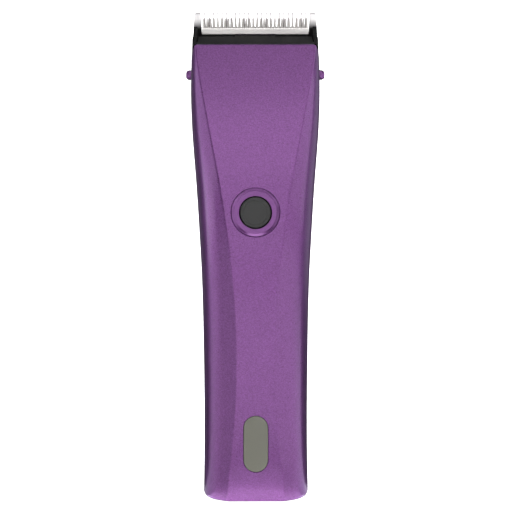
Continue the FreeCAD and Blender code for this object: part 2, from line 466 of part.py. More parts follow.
for x in (COMB_SCREW_X, -COMB_SCREW_X):
    s = Part.makeCone(1.85, 0.9, 0.95, V(x, COMB_SCREW_U, -COMB_T + 0.03), V(0, 0, 1)).fuse(cyl(0.9, (x, COMB_SCREW_U, -COMB_T + 0.5), (0, 0, 1), 5.8))
    s = s.cut(box(x - 1.0, x + 1.0, COMB_SCREW_U - 0.22, COMB_SCREW_U + 0.22, -COMB_T - 1, -COMB_T + 0.45)).cut(box(x - 0.22, x + 0.22, COMB_SCREW_U - 1.0, COMB_SCREW_U + 1.0, -COMB_T - 1, -COMB_T + 0.45))
    comb_screws.append(comb(s.removeSplitter()))
nodes["comb_screws"] = Part.makeCompound(comb_screws)

# cutter
zig = [(-CUTTER_HALF, -10.5), (-CUTTER_HALF, CUTTER_ROOT)]
for i in range(CUTTER_TEETH):
    x = (i - (CUTTER_TEETH - 1) / 2) * CUTTER_PITCH
    zig += [(x - 0.50, CUTTER_ROOT), (x - 0.24, CUTTER_TIP - 0.12), (x - 0.12, CUTTER_TIP), (x + 0.12, CUTTER_TIP), (x + 0.24, CUTTER_TIP - 0.12), (x + 0.50, CUTTER_ROOT)]
zig += [(CUTTER_HALF, CUTTER_ROOT), (CUTTER_HALF, -10.5)]
blank = prism_z(zig, 0.02, 1.17)
blank = blank.cut(prism_x([(CUTTER_ROOT, 1.02), (CUTTER_ROOT, 3), (0, 3), (0, 0.2)], -30, 30))
blank = blank.cut(prism_x([(CUTTER_ROOT, 1.0), (CUTTER_ROOT - 0.45, 1.17), (CUTTER_ROOT - 0.45, 3), (CUTTER_ROOT, 3)], -30, 30))
blank = blank.cut(prism_x([(CUTTER_BACK + 0.45, 1.17), (CUTTER_BACK + 0.45, 3), (-12, 3), (-12, 0.75), (CUTTER_BACK, 0.75)], -30, 30))
RIVET_X, RIVET_U, RIVET_R = 5.6, -9.55, 0.6
for x in (RIVET_X, -RIVET_X):
    blank = blank.cut(cyl(RIVET_R, (x, RIVET_U, -1), (0, 0, 1), 4))
nodes["cutter_blade"] = comb(blank)
nodes["cutter_rivets"] = Part.makeCompound([comb(cyl(RIVET_R, (x, RIVET_U, 0.05), (0, 0, 1), 2.35).fuse(cyl(1.2, (x, RIVET_U, 2.4), (0, 0, 1), 0.4)).removeSplitter()) for x in (RIVET_X, -RIVET_X)])

FORK = 7.6
fol = seat(prism_x([(7.6, 0.9), (16.0, 0.9), (16.0, 3.0), (13.6, 3.6), (13.5, 9.3), P(-10.4, 2.4), P(-10.4, 0.75), P(-8.7, 0.75), P(-8.7, 2.4), (12.3, 9.9), (12.3, 3.0), (7.6, 3.0)], -FORK, FORK))
fol = fol.cut(box(-3.35, 3.35, -30, 2.9, 140, 165.8))
for x in (RIVET_X, -RIVET_X):
    fol = fol.cut(comb(cyl(RIVET_R, (x, RIVET_U, -1), (0, 0, 1), 5))).cut(comb(cyl(1.3, (x, RIVET_U, 2.4), (0, 0, 1), 3)))
nodes["cutter_follower"] = fol

# carriage with its two slot pins
carriage = box(-21.4, 21.4, -14.9, -11.0, 0.3, 3.3)
for x0 in (10.2, -13.8):
    carriage = carriage.fuse(box(x0, x0 + 3.6, -18.3, -14.9, 0.3, 4.25)).fuse(box(x0, x0 + 3.6, SLIDE_U - 1.2, -18.3, 3.45, 4.25))
for x in (12.0, -12.0):
    carriage = carriage.fuse(cyl(0.8, (x, SLIDE_U, 0.7), (0, 0, 1), 3.2))
SPRING_SCREW_X, SPRING_SCREW_U = 5.5, -12.7
for x in (SPRING_SCREW_X, -SPRING_SCREW_X):
    carriage = carriage.cut(cyl(0.82, (x, SPRING_SCREW_U, 0.9), (0, 0, 1), 5))
nodes["cutter_carriage"] = comb(carriage.removeSplitter())
spring = box(-16, 16, -13.9, -10.9, 3.3, 3.55)
finger = [(-10.9, 3.3), (-10.9, 3.55), (-9.85, 1.35), (-9.35, 1.55), (-9.3, 1.3), (-9.75, 0.80), (-10.05, 0.82)]
for x0 in (11.0, -16.0):
    spring = spring.fuse(prism_x(finger, x0, x0 + 5.0))
for x in (SPRING_SCREW_X, -SPRING_SCREW_X):
    spring = spring.cut(cyl(0.95, (x, SPRING_SCREW_U, 2), (0, 0, 1), 3))
nodes["tension_spring"] = comb(spring.removeSplitter())
nodes["spring_screws"] = Part.makeCompound([comb(screw((x, SPRING_SCREW_U, 3.55), (0, 0, -1), 1.35, 0.6, 0.8, 2.4)) for x in (SPRING_SCREW_X, -SPRING_SCREW_X)])

# length slide: a bar with two slanting slots and a round end on each side
bar = box(-23.6, 23.6, SLIDE_U - 2.45, SLIDE_U + 2.45, 0.25, 3.3)
for x in (12.0, -12.0):
    t = SLIDE_TRAVEL + 0.05
    a = V(x - t, SLIDE_U + t * SETBACK_RATIO, -1)
    b = V(x + t, SLIDE_U - t * SETBACK_RATIO, -1)
    d = (b - a).normalize()
    w = V(-d.y, d.x, 0) * 0.88
    quad = [a + w, b + w, b - w, a - w]
    slot = Part.Face(Part.makePolygon(quad + [quad[0]])).extrude(V(0, 0, 8))
    slot = fuse_all(slot, [Part.makeCylinder(0.88, 8, a), Part.makeCylinder(0.88, 8, b)])
    bar = bar.cut(slot)
for i in range(5):
    bar = bar.cut(prism_x([(SLIDE_U - 1.2, 3.31), (SLIDE_U + 1.2, 3.31), (SLIDE_U + 1.2, 2.95), (SLIDE_U - 1.2, 2.95)], (i - 2) * 1.5 - 0.35, (i - 2) * 1.5 + 0.35))
KNOB_R = 1.88
for sx in (1, -1):
    knob = cyl(KNOB_R, (sx * 23.5, SLIDE_U, KNOB_N), (sx, 0, 0), 3.0)
    knob = knob.makeFillet(1.3, [e for e in knob.Edges if e.Closed and abs(e.CenterOfMass.x - sx * 26.5) < 1e-3])
    bar = bar.fuse(knob)
bar = bar.cut(box(22.0, 23.5, SLIDE_U - 4, SLIDE_U + 4, -2, 0.25)).cut(box(-23.5, -22.0, SLIDE_U - 4, SLIDE_U + 4, -2, 0.25))
nodes["length_slide"] = comb(bar.removeSplitter())
det = box(-7, 7, SLIDE_U - 1.1, SLIDE_U + 1.1, 3.75, 3.95).fuse(cyl(0.28, (0, SLIDE_U - 1.0, 3.66), (0, 1, 0), 2.0))
nodes["detent_spring"] = comb(det.removeSplitter())
nodes["blade_base"] = nodes["blade_base"].cut(comb(box(-7.05, 7.05, SLIDE_U - 1.15, SLIDE_U + 1.15, 3.3, 3.95)))

# ---- out ----
os.makedirs("parts", exist_ok=True)
lo, hi = [1e9] * 3, [-1e9] * 3
for name, shape in nodes.items():
    s = shape.copy()
    s.translate(V(0, DEPTH_SHIFT, 0))
    solids = s.Solids
    b = s.BoundBox
    for i, (l, h) in enumerate(((b.XMin, b.XMax), (b.YMin, b.YMax), (b.ZMin, b.ZMax))):
        lo[i], hi[i] = min(lo[i], l), max(hi[i], h)
    print("%-18s solids %d valid %s volume %9.2f" % (name, len(solids), s.isValid(), s.Volume))
    out = solids[0] if len(solids) == 1 else Part.makeCompound(solids)
    out.exportStep("parts/%s.step" % name)
print("box", [round(v, 3) for v in lo], [round(v, 3) for v in hi], "middle y", round((lo[1] + hi[1]) / 2, 4))
h = COMB.multVec(V(0, HEEL_U, HEEL_N))
print("heel pin", round(h.y + DEPTH_SHIFT, 4), round(h.z, 4))
print("comb direction", [round(c, 6) for c in COMB.Rotation.multVec(V(0, 1, 0))])
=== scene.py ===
import json
import math

import bmesh
import bpy
import numpy as np
from mathutils import Matrix, Vector


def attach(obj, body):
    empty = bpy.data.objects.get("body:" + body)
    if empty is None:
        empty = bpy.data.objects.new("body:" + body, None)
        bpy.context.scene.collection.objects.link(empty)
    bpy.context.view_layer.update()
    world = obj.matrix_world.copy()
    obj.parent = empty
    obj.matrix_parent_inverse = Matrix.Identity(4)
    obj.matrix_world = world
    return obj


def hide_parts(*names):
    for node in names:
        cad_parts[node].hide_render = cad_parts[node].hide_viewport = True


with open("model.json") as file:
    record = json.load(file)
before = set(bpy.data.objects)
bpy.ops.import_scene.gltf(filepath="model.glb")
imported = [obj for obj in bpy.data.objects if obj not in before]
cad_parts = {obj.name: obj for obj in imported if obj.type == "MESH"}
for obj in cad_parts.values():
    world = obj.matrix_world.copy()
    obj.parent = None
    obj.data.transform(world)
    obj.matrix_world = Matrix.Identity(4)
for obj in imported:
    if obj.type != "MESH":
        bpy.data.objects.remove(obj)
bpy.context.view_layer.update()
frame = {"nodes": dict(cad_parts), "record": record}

nodes = frame["nodes"]
scene = bpy.context.scene
MM = 0.001

# ---------------------------------------------------------------- the housing's own dimensions, mm, as in part.py
DEPTH_SHIFT = -0.905
YM = 1.5
SEAT_Y, SEAT_Z, SEAT_SLOPE = -10.0, 165.0, math.radians(24.0)
BASE_UP, BASE_IN, BASE_R = 1.0, 0.42, 0.30
STATIONS = [
    (0.0, 19.32, 10.40, -17.20, 17.0, 2.5),
    (8.0, 19.18, 9.80, -17.70, 17.5, 2.5),
    (20.0, 19.04, 8.40, -18.25, 18.0, 2.5),
    (38.0, 19.10, 7.10, -19.00, 18.3, 2.5),
    (60.0, 19.40, 7.00, -19.90, 18.0, 2.5),
    (80.0, 19.95, 8.30, -20.50, 17.1, 2.5),
    (100.0, 21.02, 10.80, -20.70, 16.1, 2.6),
    (116.0, 22.07, 13.40, -19.95, 16.0, 2.8),
    (130.0, 23.17, 16.10, -18.30, 17.1, 3.2),
    (142.0, 23.80, 18.40, -16.10, 19.9, 4.0),
    (154.0, 23.88, 20.60, -13.30, 24.0, 5.0),
    (166.0, 23.52, 22.00, -10.30, 28.5, 5.6),
    (174.0, 23.32, 22.30, -8.20, 31.5, 5.8),
]
FACET = [(0, 0), (0.19, 0.075), (0.348, 0.140), (0.573, 0.262), (0.719, 0.385), (0.876, 0.590), (0.955, 0.785), (1, 1)]
SWITCH_Z = 103.3
WINDOW_Z, WINDOW_W, WINDOW_L = 20.7, 8.7, 20.1
TOP, TIP_Y, BLADE_LEAN = 178.6, 3.4, math.radians(35.0)


def natural(xs, ys, flat_end=False):
    """Cubic spline through the points. flat_end makes its slope 0 at the last one."""
    xs, ys = np.array(xs, float), np.array(ys, float)
    n, h = len(xs), np.diff(xs)
    a, r = np.zeros((n, n)), np.zeros(n)
    a[0, 0] = a[-1, -1] = 1
    for i in range(1, n - 1):
        a[i, i - 1], a[i, i], a[i, i + 1] = h[i - 1], 2 * (h[i - 1] + h[i]), h[i]
        r[i] = 6 * ((ys[i + 1] - ys[i]) / h[i] - (ys[i] - ys[i - 1]) / h[i - 1])
    if flat_end:
        a[-1, -2], a[-1, -1] = h[-1] / 6, h[-1] / 3
        r[-1] = -(ys[-1] - ys[-2]) / h[-1]
    m = np.linalg.solve(a, r)

    def f(x):
        x = np.asarray(x, float)
        i = np.clip(np.searchsorted(xs, x) - 1, 0, n - 2)
        p, q, w = xs[i + 1] - x, x - xs[i], h[i]
        return (m[i] * p**3 + m[i + 1] * q**3) / (6 * w) + (ys[i] / w - m[i] * w / 6) * p + (ys[i + 1] / w - m[i + 1] * w / 6) * q

    return f


ZS = [s[0] for s in STATIONS]
HALF_W, CREASE_X, FRONT, BACK, SQUARE = [natural(ZS, [s[i] for s in STATIONS]) for i in range(1, 6)]
_step = [0.0]
for (x0, y0), (x1, y1) in zip(FACET, FACET[1:]):
    _step.append(_step[-1] + math.hypot(x1 - x0, y1 - y0))
_step = [s / _step[-1] for s in _step]
FX = natural(_step, [p[0] for p in FACET], flat_end=True)
FY = natural(_step, [p[1] for p in FACET])
FX1, FY1 = float((FX(1e-4) - FX(0)) / 1e-4), float((FY(1e-4) - FY(0)) / 1e-4)
CREASE_R = 0.55
FLAT, CREASE, SIDE, REAR, LIP = range(5)


def outline(kind, val, side, z, t):
    """x and y of the outline's columns at heights z, moved in by t."""
    w, c, yf, yb, sq = HALF_W(z) - t, CREASE_X(z), FRONT(z) + t, BACK(z) - t, SQUARE(z)
    c = np.maximum(c - 0.55 * t, 3.0)
    dx, dy = w - c, YM - yf
    ub = np.minimum(CREASE_R / np.hypot(dx * FX1, dy * FY1), 0.2)
    r = np.minimum(CREASE_R, 0.8 * dx)
    x_flat, y_flat = val * (c - r), yf
    bx, by = c + dx * FX(ub), yf + dy * FY(ub)
    x_cr = (1 - val) ** 2 * (c - r) + 2 * val * (1 - val) * c + val**2 * bx
    y_cr = (1 - val) ** 2 * yf + 2 * val * (1 - val) * yf + val**2 * by
    u = ub + (1 - ub) * np.clip(val, 0, 1)
    x_si, y_si = c + dx * FX(u), np.minimum(yf + dy * FY(u), YM - 0.24)
    x_si = np.minimum(x_si, w)
    ca, sa = np.cos(val), np.sin(val)
    x_re = w * np.sign(ca) * np.abs(ca) ** (2 / sq)
    y_re = YM + (yb - YM) * np.abs(sa) ** (2 / sq)
    x = np.where(kind == FLAT, x_flat, np.where(kind == CREASE, side * x_cr, np.where(kind == SIDE, side * x_si, x_re)))
    y = np.where(kind == FLAT, y_flat, np.where(kind == CREASE, y_cr, np.where(kind == SIDE, y_si, y_re)))
    return x, y


def seam_lip(w, side, which, step):
    """The edge of the seam's groove, on the front half (which -1) or the rear half (which +1)."""
    pts = [(0.0, 0.24), (0.028, 0.175), (0.10, 0.145), (0.34, 0.14), (0.34, 0.0)]
    d, y = pts[step]
    return side * (w - d), YM + which * y


def half_columns(front):
    cols = []
    if front:
        us = [1 - (1 - s) ** 1.35 for s in np.linspace(0, 1, 40)][1:-1]
        for s in (4, 3, 2, 1, 0):
            cols.append((LIP, s, -1))
        cols += [(SIDE, u, -1) for u in reversed(us)]
        cols += [(CREASE, v, -1) for v in np.linspace(1, 0, 8)]
        cols += [(FLAT, v, 1) for v in np.linspace(-1, 1, 30)[1:-1]]
        cols += [(CREASE, v, 1) for v in np.linspace(0, 1, 8)]
        cols += [(SIDE, u, 1) for u in us]
        for s in (0, 1, 2, 3, 4):
            cols.append((LIP, s, 1))
    else:
        for s in (4, 3, 2, 1, 0):
            cols.append((LIP, s, 1))
        for s in np.linspace(0, 1, 41)[2:-2]:
            a = s**1.9 / (s**1.9 + (1 - s) ** 1.9)
            cols.append((REAR, math.pi * a, 1))
        for s in (0, 1, 2, 3, 4):
            cols.append((LIP, s, -1))
    k = np.array([c[0] for c in cols])
    v = np.array([c[1] for c in cols], float)
    s = np.array([c[2] for c in cols], float)
    return k, v, s


def row_points(cols, z, t, which, inner=False):
    k, v, s = cols
    val = np.where(k == LIP, 1.0, v)
    x, y = outline(np.where(k == LIP, SIDE, k), val, s, z, t)
    w = HALF_W(z) - t
    if which > 0:
        y = np.maximum(y, YM + 0.24)
    for i in np.nonzero(k == LIP)[0]:
        if inner:
            x[i], y[i] = s[i] * w[i], YM - which * (0.3 * v[i]) if v[i] else YM + which * 0.24
        else:
            x[i], y[i] = seam_lip(w[i], s[i], which, int(v[i]))
    return np.stack([x, y, z], 1)


def mouth_z(cols, t, d, which, inner=False):
    """Heights at which the columns, moved in by t, reach the plane d above the mouth."""
    z = np.full(len(cols[0]), 158.0)
    for _ in range(30):
        p = row_points(cols, z, t, which, inner)
        z = SEAT_Z - math.tan(SEAT_SLOPE) * (p[:, 1] - SEAT_Y) + d / math.cos(SEAT_SLOPE)
    return z


def loop_solid(rows):
    """Closed mesh from rows of points, each row a closed loop, with flat ends."""
    n = len(rows[0])
    verts = [tuple(p) for r in rows for p in r]
    faces = []
    for i in range(len(rows) - 1):
        for j in range(n):
            a, b = i * n + j, i * n + (j + 1) % n
            faces.append((a, b, b + n, a + n))
    faces.append(tuple(reversed(range(n))))
    faces.append(tuple(range((len(rows) - 1) * n, len(rows) * n)))
    return verts, faces


def make(name, verts, faces, shift=True):
    """A mesh object from points in mm."""
    mesh = bpy.data.meshes.new(name)
    dy = DEPTH_SHIFT if shift else 0.0
    mesh.from_pydata([(x * MM, (y + dy) * MM, z * MM) for x, y, z in verts], [], faces)
    mesh.validate()
    ob = bpy.data.objects.new(name, mesh)
    scene.collection.objects.link(ob)
    bm = bmesh.new()
    bm.from_mesh(mesh)
    bmesh.ops.recalc_face_normals(bm, faces=bm.faces)
    bm.to_mesh(mesh)
    bm.free()
    return ob


def apply_modifiers(ob):
    dg = bpy.context.evaluated_depsgraph_get()
    mesh = bpy.data.meshes.new_from_object(ob.evaluated_get(dg))
    ob.modifiers.clear()
    old = ob.data
    ob.data = mesh
    bpy.data.meshes.remove(old)


def boolean(ob, others, how="DIFFERENCE"):
    for o in others:
        m = ob.modifiers.new("cut", "BOOLEAN")
        m.operation, m.solver, m.object = how, "EXACT", o
    apply_modifiers(ob)
    for o in others:
        bpy.data.objects.remove(o)


def soften(ob, angle=28.0, weighted=True):
    for p in ob.data.polygons:
        p.use_smooth = True
    ob.data.set_sharp_from_angle(angle=math.radians(angle))
    if weighted:
        m = ob.modifiers.new("normals", "WEIGHTED_NORMAL")
        m.keep_sharp = True
        m.weight = 60
        apply_modifiers(ob)


def lathe(name, profile, centre, axis="Y", steps=96, closed=True):
    """A turned piece. profile is (radius, along the axis), in mm."""
    verts, faces = [], []
    n = len(profile)
    for i in range(steps):
        a = 2 * math.pi * i / steps
        for r, h in profile:
            if axis == "Y":
                verts.append((centre[0] + r * math.cos(a), h, centre[2] + r * math.sin(a)))
            elif axis == "X":
                verts.append((h, centre[1] + r * math.cos(a), centre[2] + r * math.sin(a)))
            else:
                verts.append((centre[0] + r * math.cos(a), centre[1] + r * math.sin(a), h))
    last = n if closed else n - 1
    for i in range(steps):
        j = (i + 1) % steps
        for k in range(last):
            l = (k + 1) % n
            faces.append((i * n + k, j * n + k, j * n + l, i * n + l))
    ob = make(name, verts, faces)
    bm = bmesh.new()
    bm.from_mesh(ob.data)
    bmesh.ops.remove_doubles(bm, verts=bm.verts, dist=1e-7)
    bmesh.ops.dissolve_degenerate(bm, edges=bm.edges, dist=1e-7)
    bmesh.ops.recalc_face_normals(bm, faces=bm.faces)
    bm.to_mesh(ob.data)
    bm.free()
    return ob


def rounded(points, radii, steps=5):
    """An open polyline with its corners rounded; radii has one value per corner."""
    out = [points[0]]
    for (a, b, c), r in zip(zip(points, points[1:], points[2:]), radii):
        a, b, c = np.array(a, float), np.array(b, float), np.array(c, float)
        u, v = (a - b) / np.linalg.norm(a - b), (c - b) / np.linalg.norm(c - b)
        if r <= 0:
            out.append(tuple(b))
            continue
        half = math.acos(max(-1, min(1, float(u @ v)))) / 2
        cut = min(r / math.tan(half), 0.49 * np.linalg.norm(a - b), 0.49 * np.linalg.norm(c - b))
        p, q = b + u * cut, b + v * cut
        for i in range(steps + 1):
            s = i / steps
            out.append(tuple((1 - s) ** 2 * p + 2 * s * (1 - s) * b + s**2 * q))
    out.append(points[-1])
    return out


def stadium_loop(half_w, half_l, zc, steps=24):
    pts = []
    r = half_w
    for i in range(steps + 1):
        a = math.pi * i / steps
        pts.append((r * math.cos(a), zc + half_l - r + r * math.sin(a)))
    for i in range(steps + 1):
        a = math.pi + math.pi * i / steps
        pts.append((r * math.cos(a), zc - half_l + r + r * math.sin(a)))
    return pts


def stadium_solid(name, half_w, half_l, zc, y0, y1):
    loop = stadium_loop(half_w, half_l, zc)
    rows = [[(x, y, z) for x, z in loop] for y in (y0, y1)]
    return make(name, *loop_solid(rows))


CA, SA = math.cos(SEAT_SLOPE), math.sin(SEAT_SLOPE)
CB, SB = math.cos(BLADE_LEAN), math.sin(BLADE_LEAN)


def seat_pt(x, s, d):
    """Along the mouth to the back, and out of the mouth."""
    return (x, SEAT_Y + s * CA + d * SA, SEAT_Z - s * SA + d * CA)


def comb_pt(x, u, n):
    """Towards the comb's tips, and out of its sliding face."""
    return (x, TIP_Y - u * SB - n * CB, TOP + u * CB - n * SB)


def rod(name, p, d, radius, length, steps=48):
    p, d = Vector(p), Vector(d).normalized()
    a = d.orthogonal().normalized()
    b = d.cross(a)
    rows = []
    for h in (0.0, length):
        rows.append([tuple(p + d * h + a * (radius * math.cos(2 * math.pi * i / steps)) + b * (radius * math.sin(2 * math.pi * i / steps))) for i in range(steps)])
    return make(name, *loop_solid(rows))


def block(name, frame_pt, x, a, b):
    """A box in one of the frames, from its limits in x and in the frame's two directions."""
    rows = [[frame_pt(xx, a[i], b[j]) for i, j in ((0, 0), (1, 0), (1, 1), (0, 1))] for xx in x]
    return make(name, *loop_solid(rows))


def world_pt(x, y, z):
    return (x, y, z)


def prism(name, frame_pt, points, x0, x1):
    rows = [[frame_pt(xx, a, b) for a, b in points] for xx in (x0, x1)]
    return make(name, *loop_solid(rows))


def opening(name, half_w, half_l, zc, flare, inner_y):
    """Cuts a round-ended hole whose edge at the front face is broken by a small bevel."""
    rows = []
    for grow, y in ((0.0, inner_y), (0.0, 0.22), (flare * 0.35, 0.10), (flare, -0.02), (flare, -6.0)):
        loop = stadium_loop(half_w + grow, half_l + grow, zc, 40)
        rows.append([(x, float(FRONT(z)) + y if y < 2 else y - 30.0, z) for x, z in loop])
    return make(name, *loop_solid(rows))


def shell(name, front, bosses):
    which = -1 if front else 1
    cols = half_columns(front)
    n = len(cols[0])
    rows = []
    base = rounded([(3.0, 0.0), (BASE_IN, 0.0), (0.0, BASE_UP), (0.0, 6.0)], [BASE_R, 0.15], 4)[1:-1]
    for t, z in base:
        rows.append(row_points(cols, np.full(n, z), t, which))
    z0 = base[-1][1]
    zt = mouth_z(cols, 0.0, -1.12, which)
    for f in np.linspace(0, 1, 112)[1:]:
        rows.append(row_points(cols, z0 + (zt - z0) * f, 0.0, which))
    rim = rounded([(0.0, -2.0), (0.0, -0.95), (0.95, 0.0), (2.0, 0.0)], [0.16, 0.16], 4)[2:-1]
    for t, d in rim:
        z = mouth_z(cols, t, d, which)
        rows.append(row_points(cols, z, t, which))
    ob = make(name, *loop_solid(rows))
    hollow = []
    for z in [2.0] + list(np.linspace(6, 140, 42)):
        hollow.append(row_points(cols, np.full(n, z), 2.0, which, inner=True))
    zt = mouth_z(cols, 2.0, 3.0, which, inner=True)
    for f in np.linspace(0, 1, 12)[1:]:
        hollow.append(row_points(cols, 140 + (zt - 140) * f, 2.0, which, inner=True))
    inside = make("cut_hollow", *loop_solid(hollow))
    boolean(inside, bosses)
    return ob, [inside]


bosses = []
for sx in (1, -1):
    bosses.append(rod("boss", (sx * 14.2, -25, 16.0), (0, 1, 0), 2.6, 26.4))
    bosses.append(rod("boss", seat_pt(sx * 18.2, 11.0, -12.5), (0, SA, CA), 2.4, 9.2))
    for z in (45.0, 84.0):
        bosses.append(rod("boss", (sx * 8.0, -25, z), (0, 1, 0), 1.9, 12.0))
front_shell, cuts = shell("front_shell_skin", True, bosses)
for sx in (1, -1):
    cuts.append(rod("cut", (sx * 14.2, -8.5, 16.0), (0, 1, 0), 1.1, 14.0))
    cuts.append(rod("cut", seat_pt(sx * 18.2, 11.0, -12.0), (0, SA, CA), 1.1, 12.0))
    for z in (45.0, 84.0):
        cuts.append(rod("cut", (sx * 8.0, -17.5, z), (0, 1, 0), 0.8, 8.0))
cuts.append(opening("cut_bore", 8.72, 8.72, SWITCH_Z, 0.16, 18.0))
cuts.append(opening("cut_window", WINDOW_W / 2 + 0.06, WINDOW_L / 2 + 0.06, WINDOW_Z, 0.14, 18.0))
boolean(front_shell, cuts)
soften(front_shell)
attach(front_shell, "housing")
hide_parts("front_shell")

bosses = [rod("boss", (sx * 14.2, 1.6, 16.0), (0, 1, 0), 3.2, 24.0) for sx in (1, -1)]
rear_shell, cuts = shell("rear_shell_skin", False, bosses)
for sx in (1, -1):
    x = sx * 14.2
    cuts.append(lathe("cut_screw%d" % sx, [(0, 30), (2.3, 30), (2.3, 8.0), (1.2, 8.0), (1.2, 0), (0, 0)], (x, 0, 16.0), steps=64, closed=False))
    cuts.append(block("cut_contact", world_pt, (sx * 10.4 - 1.65, sx * 10.4 + 1.65), (7.6 - 3.35, 7.6 + 3.35), (-1.0, 4.0)))
cuts.append(lathe("cut_socket", [(0, -3), (4.75, -3), (4.75, -0.02), (4.45, 0.28), (4.45, 4), (0, 4)], (0, 8.2, 0), axis="Z", steps=96, closed=False))
cuts.append(lathe("cut_heel", [(0, -30), (3.25, -30), (3.25, 30), (0, 30)], (0, 19.6571, 153.116), axis="X", steps=96, closed=False))
boolean(rear_shell, cuts)
soften(rear_shell)
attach(rear_shell, "housing")
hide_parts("rear_shell")


# ---------------------------------------------------------------- switch ring and button
def turned(name, points, radii, centre, steps=128, body="housing", closed=True):
    prof = rounded(points, radii, 5)
    if closed:
        prof = prof[:-1]
    ob = lathe(name, prof, centre, steps=steps, closed=closed)
    soften(ob, 35)
    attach(ob, body)
    return ob


BORE = 5.86
ring_points = [(6.6, -17.0), (BORE, -17.0), (BORE, -19.92), (7.55, -19.92), (8.40, -20.52), (8.52, -20.56), (8.65, -20.44), (8.65, -18.05), (9.6, -18.05), (9.6, -17.0), (6.6, -17.0)]
bezel = turned("switch_bezel_ring", ring_points, [0.1, 0.14, 0.22, 0.08, 0.06, 0.06, 0.1, 0.1, 0.1], (0, 0, SWITCH_Z))
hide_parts("switch_bezel")
cap_points = [(0.0, -20.27), (2.2, -20.275), (4.15, -20.31), (4.27, -20.25), (4.40, -20.36), (5.05, -20.37), (5.37, -20.27), (5.44, -19.9), (5.44, -17.9), (1.5, -17.9), (1.5, -15.3), (0.0, -15.3)]
button = turned("switch_button_cap", cap_points, [1.0, 0.1, 0.04, 0.10, 0.25, 0.16, 0.1, 0.1, 0.1, 0.1], (0, 0, SWITCH_Z), body="button", closed=False)
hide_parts("switch_button")


# ---------------------------------------------------------------- display window
def window_piece():
    hw, hl = WINDOW_W / 2, WINDOW_L / 2
    rows = []
    for grow, y in ((0.95, -15.05), (0.95, -15.75), (0.0, -15.75)):
        rows.append([(x, y, z) for x, z in stadium_loop(hw + grow, hl + grow, WINDOW_Z, 32)])
    profile = rounded([(0.0, 2.0), (0.0, 0.13), (0.8, 0.10), (2.0, 0.10)], [0.16, 0.3], 5)[1:-1]
    for t, y in profile:
        rows.append([(x, float(FRONT(z)) + y, z) for x, z in stadium_loop(hw - t, hl - t, WINDOW_Z, 32)])
    for t in (1.4, 2.1, 2.8, 3.5, 4.1, 4.33):
        rows.append([(x, float(FRONT(z)) + 0.10, z) for x, z in stadium_loop(hw - t, hl - t, WINDOW_Z, 32)])
    ob = make("display_window_lens", *loop_solid(rows))
    soften(ob, 35)
    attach(ob, "housing")
    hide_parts("display_window")
    return ob


window = window_piece()


# ---------------------------------------------------------------- comb and cutter
def bevel(ob, width, segments=2, angle=30.0):
    m = ob.modifiers.new("bevel", "BEVEL")
    m.width, m.segments, m.limit_method, m.angle_limit = width * MM, segments, "ANGLE", math.radians(angle)
    m.use_clamp_overlap = True
    m.harden_normals = False
    apply_modifiers(ob)


def flats(ob, area):
    """Large ground faces are shaded flat. area in mm2."""
    for p in ob.data.polygons:
        if p.area > area * MM * MM:
            p.use_smooth = False


def flat_blank(name, outline_pts, n0, n1):
    rows = [[comb_pt(x, u, n) for x, u in outline_pts] for n in (n0, n1)]
    return make(name, *loop_solid(rows))


PITCH, GAPS = 1.644, 25


def comb_piece():
    right = [(23.15, -22.4), (23.35, -14.0), (23.3, -8.0), (23.05, -4.5), (22.74, -1.05), (22.60, -0.55), (22.2, -0.12), (21.9, 0.0)]
    pts = list(right)
    pts.append((20.62, 0.0))
    pts.append((20.38, -0.22))
    for i in reversed(range(GAPS)):
        x = (i - (GAPS - 1) / 2) * PITCH
        pts.append((x + 0.535, -0.75))
        pts.append((x + 0.44, -8.35))
        for k in range(1, 6):
            a = math.pi * k / 6
            pts.append((x + 0.44 * math.cos(a), -8.35 - 0.44 * math.sin(a)))
        pts.append((x - 0.44, -8.35))
        pts.append((x - 0.535, -0.75))
        if i:
            mid = x - PITCH / 2
            pts += [(mid + 0.235, -0.20), (mid + 0.13, -0.03), (mid, 0.0), (mid - 0.13, -0.03), (mid - 0.235, -0.20)]
    pts.append((-20.38, -0.22))
    pts.append((-20.62, 0.0))
    pts += [(-x, u) for x, u in reversed(right)]
    ob = flat_blank("comb_blade_ground", pts, -1.6, 0.0)
    cuts = [prism("cut", comb_pt, [(1.0, -0.28), (-9.0, -1.6), (-9.0, -3.6), (1.0, -3.6)], -30, 30)]
    for x in (18.0, -18.0):
        p, d = comb_pt(x, -17.7, -3.0), (0, -CB, -SB)
        cuts.append(rod("cut", p, d, 1.0, 5.0))
    boolean(ob, cuts)
    bevel(ob, 0.045)
    soften(ob, 20, weighted=False)
    flats(ob, 0.6)
    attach(ob, "blade_set")
    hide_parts("comb_blade")
    return ob


